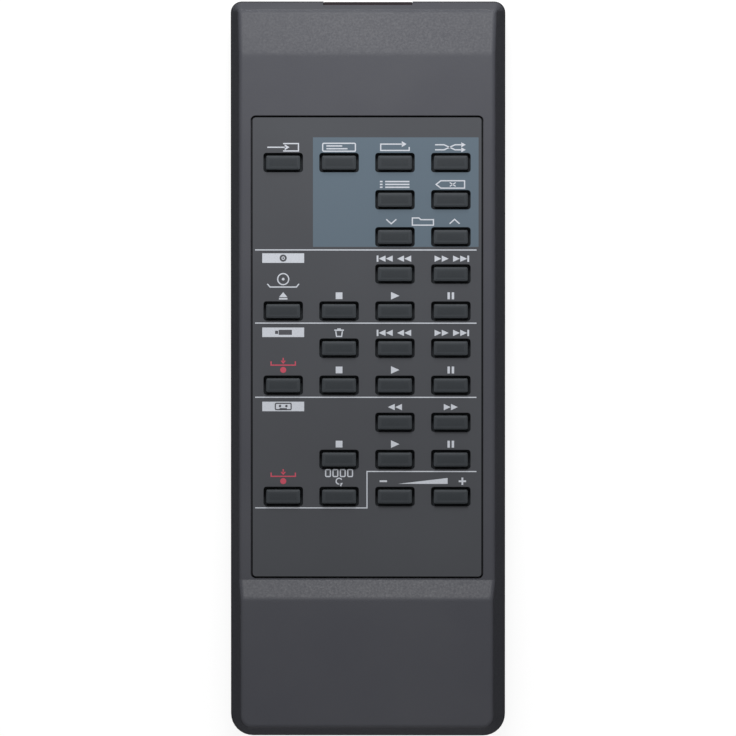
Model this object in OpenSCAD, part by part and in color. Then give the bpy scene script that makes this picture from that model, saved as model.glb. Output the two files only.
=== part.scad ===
// Handheld infrared remote control for a disc, memory and tape deck.
// X runs across the case, Y along it towards the infrared window, and Z up from the table.
// The origin lies on the table under the middle of the case.

/* [Case] */
// Width of the case at its parting line
case_w = 52.3; // [51:0.1:58]
// Length of the case at its parting line
case_l = 140; // [138:1:156]
// Height of the parting line above the table
part_z = 9.6; // [9:0.1:11]
// Thickness of the case walls and floor
wall = 1.8; // [1.5:0.1:2.1]
// Lean of the upper walls, in degrees
upper_lean = 10.5; // [6:0.5:12]
// Lean of the lower walls, in degrees
lower_lean = 3; // [1:0.5:5]
// Radius of the upper edge
upper_edge_r = 0.9; // [0.6:0.1:1.5]
// Radius of the lower edge
lower_edge_r = 3; // [1.5:0.1:3.5]
// Radius of the two front corners, seen from above
front_corner_r = 2.1; // [1.2:0.1:4]
// Radius of the two rear corners, seen from above
rear_corner_r = 4.2; // [2:0.1:6]
// Length of the sloping nose
nose_l = 9.95; // [8:0.05:12]
// Fall of the nose from the face to the front end
nose_drop = 1.5; // [0.5:0.1:2.5]
// Length of the flat brow between the nose and the panel's recess
brow_l = 11.65; // [8:0.05:16]
// Length of the slope up to the grip
step_l = 3.5; // [2:0.1:5]
// Rise of the grip above the face
grip_rise = 1.8; // [0.8:0.1:2.4]
// Length over which the nose's crease and the top of the slope are rounded
crease_round = 1; // [0.4:0.1:1.6]
// Depth of the shadow groove along the parting line
part_groove = 0.25; // [0.1:0.05:0.4]
// Height of the lip that locates the two halves
lip_h = 1.4; // [1:0.1:2]
// Thickness of the case roof under the panel
roof_t = 1.15; // [1:0.05:1.8]
// Thickness of the ribs inside the case
rib_t = 1; // [0.8:0.1:1.2]

/* [Face panel] */
// Distance from the panel's edge to the side of the case
panel_side = 4.45; // [3.6:0.05:6]
// Length of the inlaid panel
panel_l = 87.1; // [84:0.1:90]
// Thickness of the inlaid panel
panel_t = 0.8; // [0.5:0.1:1.2]
// Corner radius of the inlaid panel
panel_corner_r = 0.6; // [0.5:0.1:2]
// Gap round the panel in its recess
panel_gap = 0.4; // [0.15:0.05:0.6]
// Depth of the panel's surface below the face
panel_sink = 0.1; // [0:0.05:0.3]
// Land between the recess and the slope up to the grip
panel_land = 0.25; // [0.1:0.05:1]
// Thickness of the adhesive sheet under the panel
adhesive_t = 0.15; // [0.1:0.05:0.25]
// Gap round the adhesive sheet in the recess
adhesive_gap = 0.1; // [0.05:0.05:0.2]

/* [Keys] */
// Distance from the panel's edge to the outer key columns
key_side = 5.8; // [5.2:0.05:7]
// Distance between key rows
key_pitch_y = 7.04; // [6.8:0.01:7.4]
// Distance from the panel's front edge to the first row
key_margin = 8.55; // [7:0.05:10]
// Width of a key cap
key_w = 6.4; // [6:0.1:7.2]
// Length of a key cap
key_l = 2.6; // [2.4:0.05:3.5]
// Corner radius of a key cap
key_corner_r = 0.3; // [0.2:0.05:0.9]
// Width of the bevel round a key cap's top
key_bevel_w = 0.4; // [0.2:0.05:0.6]
// Height of the bevel round a key cap's top
key_bevel_h = 0.2; // [0.1:0.05:0.3]
// Radius of the crown across a key cap
key_crown_r = 14; // [8:1:40]
// Height of a key cap above the face
key_proud = 0.9; // [0.5:0.1:1.4]
// Travel of a key
key_travel = 0.8; // [0.5:0.1:1]
// Gap round a key cap in the panel
key_gap = 0.55; // [0.2:0.05:0.6]
// Overhang of a key's skirt beyond its cap, front and rear
key_lip = 0.9; // [0.7:0.05:1]
// Height of a key's skirt
key_skirt_h = 1.4; // [1.2:0.1:1.8]
// Thickness of a key's skirt walls
key_web_t = 0.6; // [0.4:0.05:0.7]
// Width of the contact post under a key
key_post_w = 3.4; // [2.4:0.1:4.4]
// Length of the contact post under a key
key_post_l = 1.8; // [1.2:0.1:2.2]

/* [Keypad mat and circuit board] */
// Thickness of the silicone mat
mat_t = 0.8; // [0.6:0.1:1.2]
// Border of the mat beyond the outer key holes
mat_border = 1.6; // [1.4:0.1:1.8]
// Gap round a key's skirt in the mat
mat_gap = 0.25; // [0.2:0.05:0.4]
// Web of the mat between the holes of two key columns
mat_web = 1.5; // [1.2:0.1:2]
// Thickness of the circuit board
board_t = 1.2; // [1:0.1:1.6]
// Reach of the circuit board beyond the mat, front and rear
board_reach = 3; // [2:0.5:4]
// Width of the board's tongue between the screw bosses
board_tongue_w = 26; // [20:1:28]
// Length of the board's tongue
board_tongue_l = 7.5; // [6:0.5:9]

/* [Cells and contacts] */
// Diameter of a cell
cell_d = 10.5; // [10:0.1:10.8]
// Length of a cell with its positive cap
cell_l = 44.5; // [44:0.1:45]
// Diameter of the positive cap
cell_cap_d = 3.8; // [3:0.1:4.5]
// Height of the positive cap
cell_cap_h = 0.9; // [0.8:0.1:1.2]
// Gap between the two cells
cell_split = 0.7; // [0.4:0.1:1.5]
// Gap between a cell and the wall of its bay
cell_gap = 0.4; // [0.3:0.1:0.8]
// Thickness of the bay's walls
bay_wall = 1.1; // [0.9:0.1:1.5]
// Thickness of the contact plates
contact_t = 0.4; // [0.3:0.05:0.6]
// Height of the contact plates
contact_h = 8; // [6:0.5:9]
// Width of the tails that join the contacts to the board
tail_w = 2; // [1.5:0.1:2.5]
// Length of a fitted contact spring
spring_l = 6.2; // [5.6:0.1:8]
// Diameter of the spring wire
spring_wire = 0.6; // [0.5:0.05:0.7]
// Diameter of the spring at its plate, between wire centres
spring_base_d = 7; // [6.5:0.1:8]
// Diameter of the spring at the cell, between wire centres
spring_tip_d = 4.4; // [3.5:0.1:5]
// Turns of the spring
spring_turns = 4; // [3:1:4]

/* [Battery door] */
// Width of the battery door
door_w = 34; // [32:0.5:36]
// Length of the battery door
door_l = 57.7; // [56:0.1:60]
// Thickness of the battery door
door_t = 1.6; // [1.3:0.1:2]
// Gap round the battery door
door_gap = 0.2; // [0.15:0.05:0.35]
// Depth of the door's surface below the case floor
door_sink = 0.1; // [0.05:0.05:0.3]
// Overhang of the door's side tongues
tongue_w = 1.7; // [1.2:0.1:2.2]
// Thickness of the door's side tongues
tongue_t = 1; // [0.8:0.1:1.4]
// Height of the door's rear end
door_end_h = 3.4; // [3.2:0.1:3.8]
// Depth of the door's rear end
door_end_t = 3; // [2.6:0.1:3.3]
// Number of thumb grooves in the door
groove_count = 6; // [3:1:8]
// Distance between thumb grooves
groove_pitch = 1.8; // [1.4:0.1:2.2]
// Width of a thumb groove
groove_w = 0.8; // [0.5:0.1:1]
// Length of a thumb groove
groove_l = 16; // [8:1:24]
// Depth of a thumb groove
groove_d = 0.5; // [0.3:0.05:0.7]

/* [Infrared window and lamp] */
// Width of the infrared window
window_w = 17; // [14:1:28]
// Height of the infrared window
window_h = 8; // [6:0.5:9]
// Gap round the infrared window
window_gap = 0.15; // [0.1:0.05:0.3]
// Depth of the window's surface below the front wall
window_sink = 0.1; // [0.1:0.05:0.4]
// Overhang of the window's flange inside the case
window_flange = 1.5; // [1:0.1:2]
// Thickness of the window's flange
window_flange_t = 1; // [0.8:0.1:1.4]
// Diameter of the infrared lamp's dome
lamp_d = 5; // [4.8:0.1:5.2]
// Diameter of the infrared lamp's flange
lamp_flange_d = 5.8; // [5.4:0.1:6]
// Length of the infrared lamp
lamp_l = 8.6; // [8:0.1:8.8]
// Distance between the infrared lamp's leads
lead_pitch = 2.54; // [2:0.02:2.6]
// Thickness of the infrared lamp's leads
lead_t = 0.5; // [0.4:0.05:0.6]

/* [Board components] */
// Length of the controller chip's body
chip_l = 12.8; // [10:0.1:15]
// Width of the controller chip's body
chip_w = 7.5; // [5:0.1:8]
// Thickness of the controller chip's body
chip_t = 2.3; // [1.5:0.1:2.6]
// Number of leads on each side of the controller chip
chip_leads = 10; // [8:1:10]
// Distance between the controller chip's leads
chip_lead_pitch = 1.27; // [0.95:0.01:1.27]
// Reach of the controller chip's leads
lead_reach = 1.5; // [1:0.1:1.8]
// Thickness of the controller chip's leads
lead_sheet = 0.2; // [0.15:0.05:0.3]
// Diameter of the electrolytic capacitor
cap_d = 5; // [4:0.5:6.3]
// Length of the electrolytic capacitor
cap_l = 11; // [7:0.5:12]
// Width of the ceramic resonator
resonator_w = 7; // [5:0.5:8]
// Thickness of the ceramic resonator
resonator_t = 3.2; // [2.5:0.1:4]
// Height of the ceramic resonator
resonator_h = 7.5; // [5:0.5:8]
// Diameter of the driver transistor
transistor_d = 4.8; // [4:0.1:5.2]
// Height of the driver transistor
transistor_h = 5; // [4:0.1:5.5]
// Length of a chip resistor
resistor_l = 2; // [1.6:0.1:3.2]
// Width of a chip resistor
resistor_w = 1.25; // [0.8:0.05:1.6]
// Thickness of a chip resistor
resistor_t = 0.6; // [0.4:0.05:0.7]

/* [Screws and snaps] */
// Distance of a screw from the side of the case
screw_inset_x = 7; // [6.5:0.1:8]
// Distance of a screw from the front end
screw_inset_y = 12.5; // [12:0.1:14]
// Radius of a screw's shank
screw_r = 1.1; // [0.9:0.05:1.25]
// Length of a screw's shank
screw_l = 8; // [6:0.5:9]
// Radius of a screw's head
screw_head_r = 2.2; // [1.9:0.05:2.4]
// Height of a screw's head
screw_head_h = 1.6; // [1.2:0.1:2]
// Height of the seat under a screw's head
screw_seat_z = 4.4; // [3.5:0.1:5]
// Radius of the screw bosses
boss_r = 3.3; // [3.1:0.1:3.6]
// Height of the boss in the lower case
boss_z = 7; // [6.4:0.1:8]
// Width of a snap tab
snap_w = 4; // [3:0.1:6]
// Thickness of a snap tab
snap_t = 1.1; // [0.8:0.1:1.4]
// Reach of a snap tab below the parting line
snap_reach = 3; // [2.6:0.1:3.6]
// Bite of a snap tab's barb into the wall
snap_bite = 0.5; // [0.3:0.05:0.6]

/* [Hidden] */
$fn = 48;

// Running gaps inside the case, where no size of their own is set
stop_gap = 0.1;
fit_gap = 0.15;
// Overlap that makes a cut break cleanly through a face
cut = 1;
// Smallest corner radius that an inset outline keeps
min_corner_r = 0.4;
// Steps of an outline's corner arcs and of its edge rounds
arc_n = 8;
edge_n = 6;
inner_edge_r = 0.6;
// Steps of a rounded crease
crease_n = 4;

// Places along the case
y_front = case_l / 2;
y_rear = -case_l / 2;
nose_y = y_front - nose_l;
recess_front_y = nose_y - brow_l;
recess_w = case_w - 2 * panel_side + 2 * panel_gap;
recess_l = panel_l + 2 * panel_gap;
step_foot_y = recess_front_y - recess_l - panel_land;
step_top_y = step_foot_y - step_l;

// Stack of the inner pieces, from the table up
cell_z = door_sink + door_t + cell_gap;
cell_axis_z = cell_z + cell_d / 2;
bay_ceiling_z = cell_z + cell_d + cell_gap;
board_z = bay_ceiling_z + bay_wall;
mat_z = board_z + board_t;
mat_top_z = mat_z + mat_t;
key_z = mat_z + key_travel + stop_gap;
roof_z = key_z + key_skirt_h + stop_gap;
recess_z = roof_z + roof_t;
panel_base_z = recess_z + adhesive_t;
panel_z = panel_base_z + panel_t;
face_z = panel_z + panel_sink;
grip_z = face_z + grip_rise;
key_top_z = face_z + key_proud;
roof_drop = face_z - roof_z;

// Corner p of the line from a to b, rounded over length l by a parabola
function rounded_corner(a, p, b, l) =
    let (
        slope_in = (p[1] - a[1]) / (p[0] - a[0]),
        slope_out = (b[1] - p[1]) / (b[0] - p[0])
    )
    [for (i = [0:crease_n])
        let (t = i / crease_n, y = p[0] + l * (t - 0.5))
        [y, p[1] + slope_in * (y - p[0]) + (slope_out - slope_in) * l * t * t / 2]];

// Top line of the upper case above the parting line, from the rear end to the front end
rear_top = [y_rear, grip_z - part_z];
step_top = [step_top_y, grip_z - part_z];
step_foot = [step_foot_y, face_z - part_z];
nose_top = [nose_y, face_z - part_z];
front_top = [y_front, face_z - nose_drop - part_z];
upper_line = concat(
    [rear_top],
    rounded_corner(rear_top, step_top, step_foot, crease_round),
    [step_foot],
    rounded_corner(step_foot, nose_top, front_top, crease_round),
    [front_top]
);
creases = [for (i = [1:len(upper_line) - 2]) upper_line[i][0]];

// Bottom line of the lower case below the parting line
lower_line = [[y_rear, part_z], [y_front, part_z]];

// Panel in its recess
panel_w = recess_w - 2 * panel_gap;
panel_y = recess_front_y - recess_l / 2;

// Keys: name, column and row
KEYS = [
    ["key_input", 0, 0], ["key_display", 1, 0], ["key_repeat", 2, 0], ["key_shuffle", 3, 0],
    ["key_program", 2, 1], ["key_clear", 3, 1],
    ["key_folder_down", 2, 2], ["key_folder_up", 3, 2],
    ["key_disc_back", 2, 3], ["key_disc_forward", 3, 3],
    ["key_disc_eject", 0, 4], ["key_disc_stop", 1, 4], ["key_disc_play", 2, 4], ["key_disc_pause", 3, 4],
    ["key_memory_erase", 1, 5], ["key_memory_back", 2, 5], ["key_memory_forward", 3, 5],
    ["key_memory_record", 0, 6], ["key_memory_stop", 1, 6],
    ["key_memory_play", 2, 6], ["key_memory_pause", 3, 6],
    ["key_tape_rewind", 2, 7], ["key_tape_wind", 3, 7],
    ["key_tape_stop", 1, 8], ["key_tape_play", 2, 8], ["key_tape_pause", 3, 8],
    ["key_tape_record", 0, 9], ["key_counter_reset", 1, 9],
    ["key_level_down", 2, 9], ["key_level_up", 3, 9],
];
key_columns = 4;
key_rows = 10;
key_pitch_x = (panel_w - 2 * key_side) / (key_columns - 1);
first_row_y = panel_y + panel_l / 2 - key_margin;
last_row_y = first_row_y - (key_rows - 1) * key_pitch_y;
key_skirt_w = key_pitch_x - mat_web - 2 * mat_gap;
key_skirt_l = key_l + 2 * key_lip;
key_open_w = key_w + 2 * key_gap;
key_open_l = key_l + 2 * key_gap;
key_open_r = key_corner_r + key_gap / 2;
key_cap_h = key_top_z - key_z - key_skirt_h;
mat_hole_w = key_skirt_w + 2 * mat_gap;
mat_hole_l = key_skirt_l + 2 * mat_gap;

// Mat and board
mat_w = (key_columns - 1) * key_pitch_x + mat_hole_w + 2 * mat_border;
mat_l = (key_rows - 1) * key_pitch_y + mat_hole_l + 2 * mat_border;
mat_y = (first_row_y + last_row_y) / 2;
board_l = mat_l + 2 * board_reach;
board_front_y = mat_y + board_l / 2;

// Bay for the cells, with its contacts at both ends
cell_x = (cell_d + cell_split) / 2;
bay_half_w = cell_x + cell_d / 2 + cell_gap;
bay_rear_y = y_rear + wall + 2 * bay_wall;
bay_l = cell_l + spring_l + 2 * contact_t;
bay_front_y = bay_rear_y + bay_l;
contact_w = cell_d - 1;
tail_x = bay_half_w - tail_w / 2 - fit_gap;

// Battery door and the channel that it slides in
door_front_y = y_rear + door_l;
tongue_z = door_sink + door_t + stop_gap;
channel_half_w = door_w / 2 + tongue_w + door_gap;
channel_top_z = tongue_z + tongue_t + door_gap;
shelf_z = max(channel_top_z, door_sink + door_end_h + door_gap) + bay_wall;
ledge_top_z = tongue_z - stop_gap;

// Window, lamp and screws
window_seat_y = y_front - wall - (window_h / 2 + window_flange) * tan(upper_lean) - fit_gap;
lamp_tip_y = window_seat_y - window_flange_t - fit_gap;
lamp_flange_t = 1;
lamp_base_y = lamp_tip_y - lamp_l;
screw_x = case_w / 2 - screw_inset_x;
screw_y = y_front - screw_inset_y;
screw_head_gap = 0.3;
board_post_inset = 3;
board_post_x = mat_w / 2 - board_post_inset;

PIECES = [
    "top_case", "face_panel", "panel_adhesive", "ir_window", "bottom_case", "battery_door", "keypad_mat",
    "circuit_board", "ir_lamp", "controller_chip", "ceramic_resonator", "electrolytic_capacitor",
    "driver_transistor", "chip_resistors", "cell_left", "cell_right", "front_positive_plate",
    "front_negative_plate", "front_spring", "rear_bridge_plate", "rear_spring", "case_screws",
];

// Shapes that repeat

// Rectangle with round corners
module rounded_rect(w, l, r) {
    square([w - 2 * r, l], center = true);
    square([w, l - 2 * r], center = true);
    for (x = [-1, 1], y = [-1, 1])
        translate([x * (w / 2 - r), y * (l / 2 - r)]) circle(r);
}

// Box on its base, centred in plan
module block(w, l, h) {
    translate([-w / 2, -l / 2, 0]) cube([w, l, h]);
}

// Box between two corners
module span(low, high) {
    translate(low) cube(high - low);
}

// Quarter arc about a centre, from a start angle
function arc(cx, cy, r, start) =
    [for (i = [0:arc_n]) let (a = start + 90 * i / arc_n) [cx + r * cos(a), cy + r * sin(a)]];

// Plan outline of the case moved in by d, with a point where each crease meets a side
function outline(d) =
    let (
        x = case_w / 2 - d,
        yf = y_front - d,
        yr = y_rear + d,
        rf = max(front_corner_r - d, min_corner_r),
        rr = max(rear_corner_r - d, min_corner_r)
    )
    concat(
        [for (y = creases) [x, y]],
        arc(x - rf, yf - rf, rf, 0),
        arc(rf - x, yf - rf, rf, 90),
        [for (i = [len(creases) - 1:-1:0]) [-x, creases[i]]],
        arc(rr - x, yr + rr, rr, 180),
        arc(x - rr, yr + rr, rr, 270)
    );
ring_n = len(outline(0));

// Ring of the loft where the edge round has turned to angle a
function edge_ring(line, inset, drop, lean, r, rim, a) =
    let (nominal = outline(0))
    [for (i = [0:ring_n - 1])
        let (
            h = lookup(nominal[i].y, line) - drop,
            d = inset + r * cos(lean) + (h - rim - r + r * sin(lean)) * tan(lean) - r * cos(a),
            p = outline(d)[i]
        )
        [p.x, p.y, lookup(p.y, line) - drop - r * (1 - sin(a))]];

// Case half above its parting line: a bevelled rim, leaning walls, round edge and creased top.
// A hollow has no rim, and reaches down past the parting line instead.
module case_loft(line, inset, drop, lean, r, rim, skirt) {
    feet = rim > 0 ? [[inset + rim, 0], [inset, rim]] : [[inset - skirt * tan(lean), -skirt]];
    base = [for (foot = feet) [for (p = outline(foot[0])) [p.x, p.y, foot[1]]]];
    edges = [for (k = [0:edge_n])
        edge_ring(line, inset, drop, lean, r, rim, lean + (90 - lean) * k / edge_n)];
    rings = concat(base, edges);
    top = (len(rings) - 1) * ring_n;
    c = len(creases);
    left = c + 2 * (arc_n + 1);
    rear = left + c;
    sides = [for (k = [0:len(rings) - 2], i = [0:ring_n - 1], half = [0, 1])
        let (
            j = (i + 1) % ring_n,
            low = k * ring_n,
            high = low + ring_n
        )
        half == 0 ? [low + i, high + i, high + j] : [low + i, high + j, low + j]];
    nose = [for (i = [left:-1:c - 1]) top + i];
    strips = [for (i = [0:c - 2]) [top + i + 1, top + i, top + rear - 1 - i, top + rear - 2 - i]];
    grip = concat([top], [for (i = [ring_n - 1:-1:rear - 1]) top + i]);
    floor_face = [for (i = [0:ring_n - 1]) (i + c + arc_n / 2) % ring_n];
    polyhedron([for (ring = rings, p = ring) p], concat(sides, [nose], strips, [grip], [floor_face]));
}

// Upper and lower halves of the case's outside, or of its hollow when moved in
module upper_form(inset, drop, r, rim, skirt) {
    translate([0, 0, part_z]) case_loft(upper_line, inset, drop, upper_lean, r, rim, skirt);
}
module lower_form(inset, drop, r, rim, skirt) {
    translate([0, 0, part_z]) mirror([0, 0, 1])
        case_loft(lower_line, inset, drop, lower_lean, r, rim, skirt);
}

// Place of each key
function key_place(k) = [(k[1] - (key_columns - 1) / 2) * key_pitch_x, first_row_y - k[2] * key_pitch_y];
module at_keys() {
    for (k = KEYS) translate(key_place(k)) children();
}

// Places of the snaps: on the parting line, turned so that +Y points into the case
module at_snaps() {
    for (x = [-1, 1]) {
        translate([x * (case_w / 2 - rear_corner_r - snap_w), y_rear]) children();
        for (y = [y_rear + case_l / 3, y_rear + 2 * case_l / 3])
            translate([x * case_w / 2, y]) rotate(x * 90) children();
    }
}

// Points along a wire that winds from base_d to tip_d over length l, with straight ends
function spring_path(base_d, tip_d, l, wire, turns) =
    let (steps = 12 * turns, rise = l - 2 * wire)
    concat(
        [[base_d / 2, 0, 0]],
        [for (i = [0:steps])
            let (t = i / steps, r = (base_d + (tip_d - base_d) * t) / 2)
            [r * cos(360 * turns * t), r * sin(360 * turns * t), wire + rise * t]],
        [[tip_d / 2, 0, l]]
    );

// Tube of six sides swept along points that wind about Z
module wire_tube(path, wire) {
    n = len(path);
    sides = 6;
    tangents = [for (i = [0:n - 1])
        let (t = path[min(i + 1, n - 1)] - path[max(i - 1, 0)])
        i == 0 || i == n - 1 ? [0, 0, 1] : t / norm(t)];
    points = [for (i = [0:n - 1])
        let (
            out = [path[i].x, path[i].y, 0] / norm([path[i].x, path[i].y]),
            flat = out - tangents[i] * (out * tangents[i]),
            u = flat / norm(flat),
            v = cross(tangents[i], u)
        )
        for (s = [0:sides - 1])
            path[i] + wire / 2 * (u * cos(360 * s / sides) + v * sin(360 * s / sides))];
    skin = [for (i = [0:n - 2], s = [0:sides - 1], half = [0, 1])
        let (
            low = i * sides,
            high = low + sides,
            q = (s + 1) % sides
        )
        half == 0 ? [low + s, high + s, high + q] : [low + s, high + q, low + q]];
    polyhedron(points, concat(
        skin,
        [[for (s = [0:sides - 1]) s]],
        [[for (s = [sides - 1:-1:0]) (n - 1) * sides + s]]
    ));
}

fitted_spring = spring_path(spring_base_d, spring_tip_d, spring_l, spring_wire, spring_turns);
spring_gap = min([for (i = [0:len(fitted_spring) - 10], j = [i + 9:len(fitted_spring) - 1])
    norm(fitted_spring[i] - fitted_spring[j])]) - spring_wire;
echo(least_gap_between_spring_turns = spring_gap);

// Case

module top_case() {
    color("#4b4c51") difference() {
        union() {
            difference() {
                upper_form(0, 0, upper_edge_r, part_groove, 0);
                upper_form(wall, roof_drop, inner_edge_r, 0, cut);
            }
            mat_ribs();
            upper_bosses();
            at_snaps() snap_tab();
        }
        panel_recess();
        key_openings();
        lip_rebate();
        window_opening();
        screw_pilots();
    }
}

// Frame and cross ribs that hold the mat down on the board
module mat_ribs() {
    rib_h = roof_z - mat_top_z + rib_t;
    translate([0, mat_y, mat_top_z]) {
        linear_extrude(rib_h) difference() {
            square([mat_w, mat_l], center = true);
            square([mat_w - 2 * rib_t, mat_l - 2 * rib_t], center = true);
        }
        for (row = [2:2:key_rows - 1])
            translate([0, first_row_y - (row - 0.5) * key_pitch_y - mat_y, 0])
                block(mat_w - rib_t, rib_t, rib_h);
    }
}

module upper_bosses() {
    for (x = [-1, 1])
        translate([x * screw_x, screw_y, boss_z]) cylinder(r = boss_r, h = roof_z + rib_t - boss_z);
}

module screw_pilots() {
    for (x = [-1, 1])
        translate([x * screw_x, screw_y, boss_z - cut])
            cylinder(r = screw_r + stop_gap / 2, h = screw_seat_z + screw_l + 2 * cut - boss_z);
}

module panel_recess() {
    translate([0, panel_y, recess_z])
        linear_extrude(grip_z - recess_z + cut)
            rounded_rect(recess_w, recess_l, panel_corner_r + panel_gap);
}

// Window of each key, in plan
module key_windows() {
    at_keys() rounded_rect(key_open_w, key_open_l, key_open_r);
}

module key_openings() {
    translate([0, 0, roof_z - cut]) linear_extrude(roof_t + 2 * cut) key_windows();
}

// Step inside the rim that takes the lower case's lip
module lip_rebate() {
    translate([0, 0, part_z - cut]) linear_extrude(lip_h + cut + fit_gap) difference() {
        polygon(outline(wall / 2));
        polygon(outline(wall + fit_gap));
    }
}

// Springy tab with a barb, hanging down inside the rim
module snap_tab() {
    face_y = wall + fit_gap;
    span([-snap_w / 2, face_y, part_z - snap_reach], [snap_w / 2, face_y + snap_t, part_z + snap_reach]);
    span(
        [-snap_w / 2, face_y - snap_bite, part_z - snap_reach],
        [snap_w / 2, face_y + snap_t, part_z - snap_reach / 2]
    );
}

// Pocket for the barb and its way down past the lip
module snap_pocket() {
    face_y = wall + fit_gap;
    span(
        [-snap_w / 2 - fit_gap, face_y - snap_bite - fit_gap, part_z - snap_reach - fit_gap],
        [snap_w / 2 + fit_gap, face_y + snap_t + fit_gap, part_z - snap_reach / 2 + fit_gap]
    );
}

module bottom_case() {
    color("#46474b") difference() {
        union() {
            difference() {
                lower_form(0, 0, lower_edge_r, part_groove, 0);
                lower_form(wall, wall, inner_edge_r, 0, cut);
            }
            case_lip();
            bay_walls();
            channel_shelf();
            lower_bosses();
            board_posts();
            window_posts();
        }
        bay_hollow();
        door_channel();
        contact_slots();
        screw_holes();
        window_opening();
        at_snaps() snap_pocket();
    }
}

// Lip that stands up inside the upper case's rim
module case_lip() {
    translate([0, 0, part_z - wall]) linear_extrude(lip_h + wall) difference() {
        polygon(outline(wall / 2 + fit_gap));
        polygon(outline(wall));
    }
}

// Block round the cells, up to the board
module bay_walls() {
    span(
        [-bay_half_w - bay_wall, bay_rear_y - bay_wall, wall / 2],
        [bay_half_w + bay_wall, bay_front_y + bay_wall, board_z]
    );
}

// Wider step over the door's channel, cut to the form of the case
module channel_shelf() {
    intersection() {
        lower_form(fit_gap, fit_gap, lower_edge_r, 0, 0);
        span(
            [-channel_half_w - bay_wall, y_rear, wall / 2],
            [channel_half_w + bay_wall, door_front_y + door_gap + bay_wall, shelf_z]
        );
    }
}

// Room for the two cells, with a low ridge between them
module bay_hollow() {
    difference() {
        span([-bay_half_w, bay_rear_y, -cut], [bay_half_w, bay_front_y, bay_ceiling_z]);
        translate([0, (bay_rear_y + bay_front_y) / 2, bay_ceiling_z]) rotate([90, 0, 0])
            linear_extrude(cell_l / 2, center = true)
                polygon([[-cell_d / 8, 0], [0, -cell_d / 4], [cell_d / 8, 0]]);
    }
}

// Way for the door: its plate, its two tongues and its rear end
module door_channel() {
    rear = y_rear - cut;
    span([-door_w / 2 - door_gap, rear, -cut], [door_w / 2 + door_gap, door_front_y + door_gap, tongue_z]);
    span([-channel_half_w, rear, ledge_top_z], [channel_half_w, door_front_y + door_gap, channel_top_z]);
    span(
        [-channel_half_w, rear, -cut],
        [channel_half_w, y_rear + door_end_t + door_gap, door_sink + door_end_h + door_gap]
    );
}

// Slots that let the contacts' tails through the bay's ceiling
module contact_slots() {
    for (x = [-1, 1])
        translate([x * tail_x, bay_front_y - contact_t / 2, bay_ceiling_z - cut])
            block(tail_w + 2 * fit_gap, contact_t + 2 * fit_gap, bay_wall + 2 * cut);
}

module lower_bosses() {
    for (x = [-1, 1])
        translate([x * screw_x, screw_y, wall / 2]) cylinder(r = boss_r, h = boss_z - wall / 2);
}

module screw_holes() {
    for (x = [-1, 1]) translate([x * screw_x, screw_y, -cut]) {
        cylinder(r = screw_head_r + screw_head_gap, h = screw_seat_z + cut);
        cylinder(r = screw_r + screw_head_gap, h = boss_z + 2 * cut);
    }
}

// Cross-shaped posts that carry the front of the board
module board_posts() {
    for (x = [-1, 1], y = [board_front_y - 2 * board_tongue_l, bay_front_y + 2 * board_tongue_l])
        translate([x * board_post_x, y, wall / 2]) {
            block(rib_t, 4 * rib_t, board_z - wall / 2);
            block(4 * rib_t, rib_t, board_z - wall / 2);
        }
}

// Ribs behind the window's flange
module window_posts() {
    for (x = [-1, 1])
        translate([x * (window_w / 2 - rib_t), window_seat_y - window_flange_t - fit_gap - rib_t, wall / 2])
            block(2 * rib_t, 2 * rib_t, part_z - wall / 2);
}

module window_opening() {
    span(
        [-window_w / 2, window_seat_y - fit_gap, part_z - window_h / 2],
        [window_w / 2, y_front + cut, part_z + window_h / 2]
    );
}

// Door, panel and window

module battery_door() {
    color("#46474b") difference() {
        union() {
            intersection() {
                lower_form(0, 0, lower_edge_r, part_groove, 0);
                union() {
                    span(
                        [-door_w / 2, y_rear - cut, door_sink],
                        [door_w / 2, door_front_y, door_sink + door_t]
                    );
                    span(
                        [-channel_half_w + door_gap, y_rear - cut, door_sink],
                        [channel_half_w - door_gap, y_rear + door_end_t, door_sink + door_end_h]
                    );
                }
            }
            for (x = [-1, 1]) door_rail(x);
        }
        thumb_grooves();
    }
}

// Upright rail with the tongue that runs in the case's channel
module door_rail(x) {
    rear = y_rear + door_end_t - stop_gap;
    half_w = door_w / 2;
    inner = half_w - 1.5 * tongue_w;
    mirror([x < 0 ? 1 : 0, 0, 0]) {
        span([inner, rear, door_sink + door_t / 2], [half_w, door_front_y - tongue_w, tongue_z + tongue_t]);
        span([inner, rear, tongue_z], [half_w + tongue_w, door_front_y - tongue_w, tongue_z + tongue_t]);
    }
}

module thumb_grooves() {
    for (i = [0:groove_count - 1])
        translate([0, y_rear + door_end_t + (i + 2) * groove_pitch, door_sink - cut])
            linear_extrude(groove_d + cut) rounded_rect(groove_l, groove_w, groove_w / 2 - fit_gap);
}

module face_panel() {
    color("#4e4f53") translate([0, 0, panel_base_z]) linear_extrude(panel_t) difference() {
        translate([0, panel_y]) rounded_rect(panel_w, panel_l, panel_corner_r);
        key_windows();
    }
}

// Black sheet that holds the panel down and shows in the gap round it
module panel_adhesive() {
    edge = panel_gap - adhesive_gap;
    color("#101112") translate([0, 0, recess_z]) linear_extrude(adhesive_t) difference() {
        translate([0, panel_y]) rounded_rect(panel_w + 2 * edge, panel_l + 2 * edge, panel_corner_r + edge);
        key_windows();
    }
}

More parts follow.
